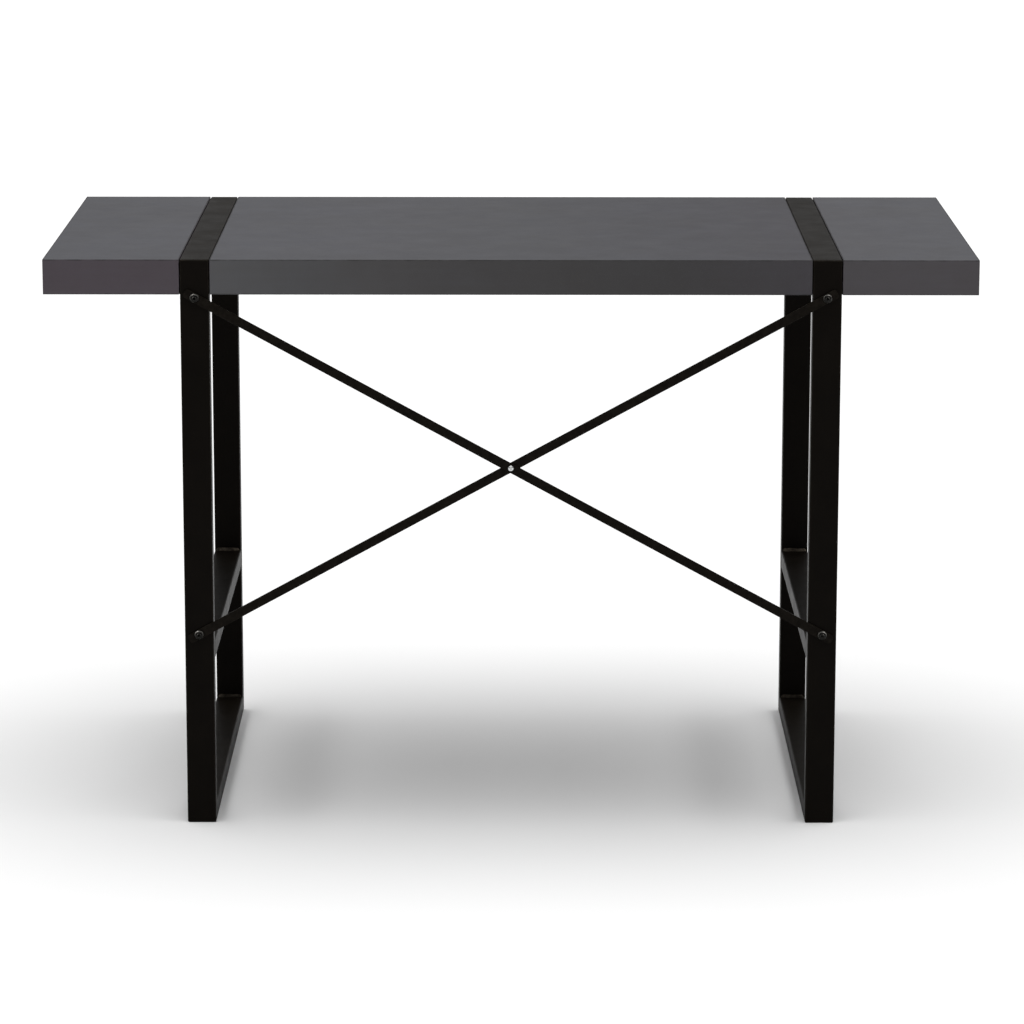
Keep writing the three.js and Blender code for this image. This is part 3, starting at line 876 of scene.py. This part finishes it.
class DESK_OT_welds(bpy.types.Operator):
    """Fillet welds over and under the middle rails, in the loops' corners and along the plates"""

    bl_idname = "desk.welds"
    bl_label = "Welds"

    def execute(self, context):
        shape = context.scene.desk_shape
        ground, rail_top, rail_underside = 0.7, 1.6, 1.2  # painted highlight on each weld, in the rubbed coat's colour
        for side in SIDES:
            rail_low, rail_high = box_of(f"{side}_middle_rail")
            start, end = rail_low[0] + shape.tube_corner, rail_high[0] - shape.tube_corner
            for place, face, inward in (("near", upper(f"{side}_near_post")[1], 1),
                                        ("far", lower(f"{side}_far_post")[1], -1)):
                corners = {
                    "floor_corner": (upper(f"{side}_bottom_rail")[2], 1, ground),
                    "roof_corner": (lower(f"{side}_top_rail")[2], -1, ground),
                    "rail_upper": (rail_high[2], 1, rail_top),
                    "rail_lower": (rail_low[2], -1, rail_underside),
                    "plate": (lower(f"{side}_{place}_carrier_plate")[2], -1, ground),
                }
                for seed, (corner, (z, up, bare_and_painted_light)) in enumerate(corners.items()):
                    bead = weld_in_corner(
                        f"{side}_{place}_{corner}_weld", (start, face, z), (end, face, z),
                        (0, inward, 0), (0, 0, up), shape.weld_leg, shape.weld_pitch, bare_and_painted_light, seed,
                    )
                    finished(bead, "black_powder_coat")
        return {"FINISHED"}


class DESK_OT_panels(bpy.types.Operator):
    """Skins and edge bands of the three top panels"""

    bl_idname = "desk.panels"
    bl_label = "Top panels"

    def execute(self, context):
        shape = context.scene.desk_shape
        glue = shape.glue_line
        for panel in PANELS:
            band = {side: f"{panel}_{side}_edge_band" for side in ("near", "far", "left", "right")}
            inner_low = np.array([upper(band["left"])[0], upper(band["near"])[1]])
            inner_high = np.array([lower(band["right"])[0], lower(band["far"])[1]])
            for node in (f"{panel}_top_skin", f"{panel}_bottom_skin"):
                low, high = box_of(node)
                low[:2], high[:2] = inner_low + glue, inner_high - glue
                stand_for(rounded_box(f"fine_{node}", low, high, shape.board_edge), node)
            for side, node in band.items():
                low, high = box_of(node)
                if side in ("left", "right"):
                    low[1], high[1] = inner_low[1] + glue / 4, inner_high[1] - glue / 4
                strip = rounded_box(f"fine_{node}", low, high, shape.band_edge, rim=1.0)
                stand_for(strip, node)
        return {"FINISHED"}


class DESK_OT_carriers(bpy.types.Operator):
    """Carrier plates under the panels and the screws up through them"""

    bl_idname = "desk.carriers"
    bl_label = "Carrier plates and screws"

    def execute(self, context):
        shape = context.scene.desk_shape
        for node in nodes_ending("_carrier_plate"):
            plate = rounded_box(f"fine_{node}", *box_of(node), shape.plate_edge)
            stand_for(plate, node)
        for node in nodes_ending("_panel_screw"):
            stand_for(self.screw(node, shape.screw_head), node)
        return {"FINISHED"}

    @staticmethod
    def screw(node, head):
        """A pan-head screw, point up: a low dome over a cross recess, and a plain shank.

        The head is a polar grid whose depth below its dome is the recess's where |x| or |y| is
        within the slot's half width, eased over about a tenth of a millimetre. The dome is
        head (1 - 0.55 share^4), and the recess gets shallower away from the middle.
        """
        low, high = box_of(node)
        radius, length = (high[0] - low[0]) / 2, high[2] - low[2]
        slot, depth, slot_ease, end_ease = 0.42 * MM, 1.5 * MM, 0.12 * MM, 0.2 * MM
        reach, shank, point = 0.52 * radius, SHANK_SHARE * radius, 6 * MM
        angle = np.linspace(0, TURN, 128, endpoint=False)[None, :]
        share = np.linspace(0.02, 1.0, 36)[:, None]
        x, y = radius * share * np.cos(angle), radius * share * np.sin(angle)
        beside = np.minimum(np.abs(x), np.abs(y)) - slot
        sink = np.clip(0.5 - beside / slot_ease, 0, 1)
        sink *= np.clip((reach - radius * share) / end_ease, 0, 1)
        rise = head * (1 - 0.55 * share**4) - sink * depth * (1 - 0.5 * share)
        stations = np.array([(radius, 0.0), (shank, 0.0), (shank, length - point),
                             (0.1 * shank, length - head)])
        ring = stations[:, :1]
        shaft = as_points(ring * np.cos(angle), ring * np.sin(angle), stations[:, 1:])
        seat = middle_of(node)
        seat[2] = low[2] + head
        wear_and_painted_light = np.concatenate([0.5 * share**6, np.zeros((len(stations), 1))])
        grid = np.concatenate([as_points(x, y, -rise), shaft])
        return surface_piece(f"fine_{node}", grid + seat, wear_and_painted_light)


class DESK_OT_brace_bars(bpy.types.Operator):
    """The two flat bars of the X brace"""

    bl_idname = "desk.brace_bars"
    bl_label = "Brace bars"

    def execute(self, context):
        shape = context.scene.desk_shape
        upper_left, lower_left, upper_right = (
            middle_of(f"{end}_brace_bolt") for end in ("left_upper", "left_lower", "right_upper")
        )
        run, rise = upper_right[0] - upper_left[0], upper_left[2] - lower_left[2]
        slope, reach = math.atan2(rise, run), math.hypot(rise, run) / 2
        back, front = upper("falling_brace_bar")[1], lower("rising_brace_bar")[1]
        thickness = back - front
        bow = (upper("falling_brace_bar") - lower("falling_brace_bar"))[1] - thickness
        across, _, tall = upper("rising_brace_bar") - lower("rising_brace_bar")
        cosine, sine = math.cos(slope), math.sin(slope)
        length = (across * cosine - tall * sine) / (cosine**2 - sine**2)
        width = (tall * cosine - across * sine) / (cosine**2 - sine**2)
        middle = np.array([0.0, (back + front) / 2, (upper_left[2] + lower_left[2]) / 2])
        for node, way in (("falling_brace_bar", -1), ("rising_brace_bar", 1)):
            bar = bowed_bar(f"fine_{node}", middle, length, width, thickness, way * slope,
                            -way * bow, reach, shape.bar_edge, shape.bar_corner, shape.bar_rub,
                            shape.bar_thin)
            stand_for(bar, node)
        return {"FINISHED"}


class DESK_OT_brace_bolts(bpy.types.Operator):
    """Button-head bolts with hexagon sockets at the brace's ends"""

    bl_idname = "desk.brace_bolts"
    bl_label = "Brace bolts"

    def execute(self, context):
        shape = context.scene.desk_shape
        head, flats = shape.bolt_head, shape.bolt_socket / 2
        floor = head - shape.bolt_socket_depth
        chamfer, rim, sweep = 0.5 * MM, 0.35 * MM, 0.36 * math.pi
        a = np.linspace(0, sweep, 12)
        dome_rise = rim + (head - rim) * np.sin(a) / math.sin(sweep)
        land = 1.14 * flats
        # Stations of the profile are (radius, height in front of the seat), from tip to socket
        socket = [(land + chamfer, head), (land, head), (1.04 * flats, head - 0.12 * MM),
                  (flats, head - rim), (flats, floor), (0.9 * flats, floor),
                  (0.12 * flats, floor - 0.9 * MM)]
        socket_hexagon = [0, 0, 0.7, 1, 1, 0.95, 0.3]
        # The dome's ring is a painted highlight at its shoulder; the socket's rim is rubbed
        dome_highlight = [0.2, 0.9, 1.6, 1.9, 1.7, 1.0, 0.3] + [0] * 5
        socket_worn = [0.1, 0.3, 0.7, 0.4, 0, 0, 0]
        for node in nodes_ending("_brace_bolt"):
            radius, seat, tip = head_across_y(node, head)
            shank, brim = SHANK_SHARE * radius, 0.985 * radius
            under = [(0.4 * shank, tip), (shank, tip + chamfer), (shank, 0.0),
                     (0.95 * radius, 0.0), (brim, 0.1 * MM)]
            dome = np.stack([brim * np.cos(a), dome_rise], -1)
            profile = under + dome.tolist() + socket
            hexagon = [0] * (len(under) + len(dome)) + socket_hexagon
            wear_and_painted_light = [0] * len(under) + dome_highlight + socket_worn
            # the painted highlights are mirrored on the right bolts, as the light falls
            bolt_highlights = [(math.pi - at if seat[0] > 0 else at, *rub) for at, *rub in HIGHLIGHT_BELLS]
            bolt = turned(f"fine_{node}", seat, profile, wear_and_painted_light, 28, hexagon, bolt_highlights)
            stand_for(bolt, node)
        return {"FINISHED"}


class DESK_OT_brace_rivet(bpy.types.Operator):
    """The hollow rivet where the bars cross"""

    bl_idname = "desk.brace_rivet"
    bl_label = "Brace rivet"

    def execute(self, context):
        shape = context.scene.desk_shape
        node, recess, head = "brace_rivet", shape.rivet_recess, shape.rivet_head
        radius, seat, tail = head_across_y(node, head)
        stem, lip = 0.64 * radius, recess + 0.45 * MM
        # Stations of the profile are (radius, height in front of the seat), from tail to hollow
        back = [(0.5 * MM, tail), (0.8 * radius, tail), (radius, tail + 0.3 * MM),
                (0.98 * radius, tail + 0.9 * MM), (stem, tail + 0.95 * MM),
                (stem, 0.0), (0.96 * radius, 0.0)]
        a = np.linspace(0, 0.42 * math.pi, 14)
        dome = np.stack([radius - (radius - lip) * (a / a[-1]) ** 1.6, head * np.sin(a) ** 0.75], -1)
        hollow = [(recess + 0.12 * MM, 0.95 * head), (recess, 0.8 * head), (recess, 0.45 * MM),
                  (0.86 * recess, 0.40 * MM), (0.84 * recess, 0.75 * MM),
                  (0.6 * recess, 0.95 * MM), (0.1 * recess, 1.0 * MM)]
        profile = back + dome.tolist() + hollow
        rivet = turned(f"fine_{node}", seat, profile, [0.0] * len(profile), 40)
        stand_for(rivet, node)
        return {"FINISHED"}


class DESK_OT_hidden_parts(bpy.types.Operator):
    """Finishes of the CAD pieces that stay as they are: panel frames, cores and rivet nuts"""

    bl_idname = "desk.hidden_parts"
    bl_label = "Hidden parts"

    def execute(self, context):
        for node in nodes_ending("_frame", "_core", "_rivet_nut"):
            part = frame["nodes"][node]
            part.data.materials.clear()
            part.data.materials.append(finishes()[SLOT_OF[node]])
        return {"FINISHED"}


class DESK_OT_stage(bpy.types.Operator):
    """Pale floor, even fill, soft light above, wall of light behind and camera"""

    bl_idname = "desk.stage"
    bl_label = "Studio"

    def execute(self, context):
        stage, scene = context.scene.desk_stage, context.scene
        ring = stage.floor_reach * np.array([[-1, -1], [1, -1], [1, 1], [-1, 1]])
        underside = -0.02
        grid = np.stack([np.c_[ring, np.full(4, z)] for z in (underside, 0.0)])
        floor = surface_piece("studio_floor", grid)
        floor.data.materials.append(finishes()["studio_floor"])
        self.light(scene, stage)
        data = bpy.data.cameras.new("camera")
        data.lens, data.sensor_width = stage.lens, stage.sensor
        data.clip_start, data.clip_end = 0.1, 200.0
        camera = bpy.data.objects.new("camera", data)
        camera.location = (stage.camera_aside, -stage.camera_distance, stage.camera_height)
        camera.rotation_euler = (QUARTER - stage.camera_pitch, -stage.camera_roll, stage.camera_yaw)
        scene.collection.objects.link(camera)
        scene.camera = camera
        scene.view_settings.view_transform = "Standard"
        return {"FINISHED"}

    @staticmethod
    def light(scene, stage):
        """A dim even fill that looks white to the camera, a soft light above and a wall of light."""
        world = bpy.data.worlds.new("studio")
        world.use_nodes = True
        tree = world.node_tree
        seen = add_node(tree, "ShaderNodeLightPath").outputs["Is Camera Ray"]
        sky = tree.nodes["Background"].inputs
        tree.links.new(span(tree, seen, 0.0, 1.0, stage.fill, 1.0), sky["Strength"])
        sky["Color"].default_value = (1.0, 1.0, 1.0, 1.0)
        scene.world = world
        overhead = bpy.data.lights.new("overhead", "SUN")
        overhead.energy, overhead.angle = stage.overhead, stage.overhead_spread
        wall = bpy.data.lights.new("wall", "AREA")
        wall.shape, wall.energy = "RECTANGLE", stage.wall
        wall.size, wall.size_y = stage.wall_width, stage.wall_height
        above, behind = (0.0, 0.0, 5.0), (0.0, stage.wall_distance, stage.wall_height / 2)
        for data, place, tilt in ((overhead, above, 0.0), (wall, behind, -QUARTER)):
            lamp = bpy.data.objects.new(data.name, data)
            lamp.location, lamp.rotation_euler = place, (tilt, 0.0, 0.0)
            lamp.visible_camera = False
            scene.collection.objects.link(lamp)


STEPS = (
    DESK_OT_leg_frames, DESK_OT_welds, DESK_OT_panels, DESK_OT_carriers, DESK_OT_brace_bars,
    DESK_OT_brace_bolts, DESK_OT_brace_rivet, DESK_OT_hidden_parts, DESK_OT_stage,
)


class DESK_PT_builder(bpy.types.Panel):
    """Sizes, colours and steps of the desk"""

    bl_idname = "DESK_PT_builder"
    bl_label = "Loop-leg desk"
    bl_space_type = "VIEW_3D"
    bl_region_type = "UI"
    bl_category = "Desk"

    def draw(self, context):
        for group in SETTINGS:
            settings = getattr(context.scene, group)
            box = self.layout.box()
            box.label(text=group.replace("_", " ").capitalize())
            for name in settings.__annotations__:
                box.prop(settings, name)
        for step in STEPS:
            self.layout.operator(step.bl_idname)


SETTINGS = {
    "desk_shape": DeskShapeSettings, "desk_finish": DeskFinishSettings,
    "desk_stage": DeskStageSettings,
}


register_classes, unregister_classes = bpy.utils.register_classes_factory(
    (*SETTINGS.values(), *STEPS, DESK_PT_builder)
)


def register():
    register_classes()
    for name, group in SETTINGS.items():
        setattr(bpy.types.Scene, name, bpy.props.PointerProperty(type=group))


def unregister():
    for name in SETTINGS:
        delattr(bpy.types.Scene, name)
    unregister_classes()


def main():
    register()
    for step in STEPS:
        area, name = step.bl_idname.split(".")
        getattr(getattr(bpy.ops, area), name)()


if __name__ == "__main__":
    main()
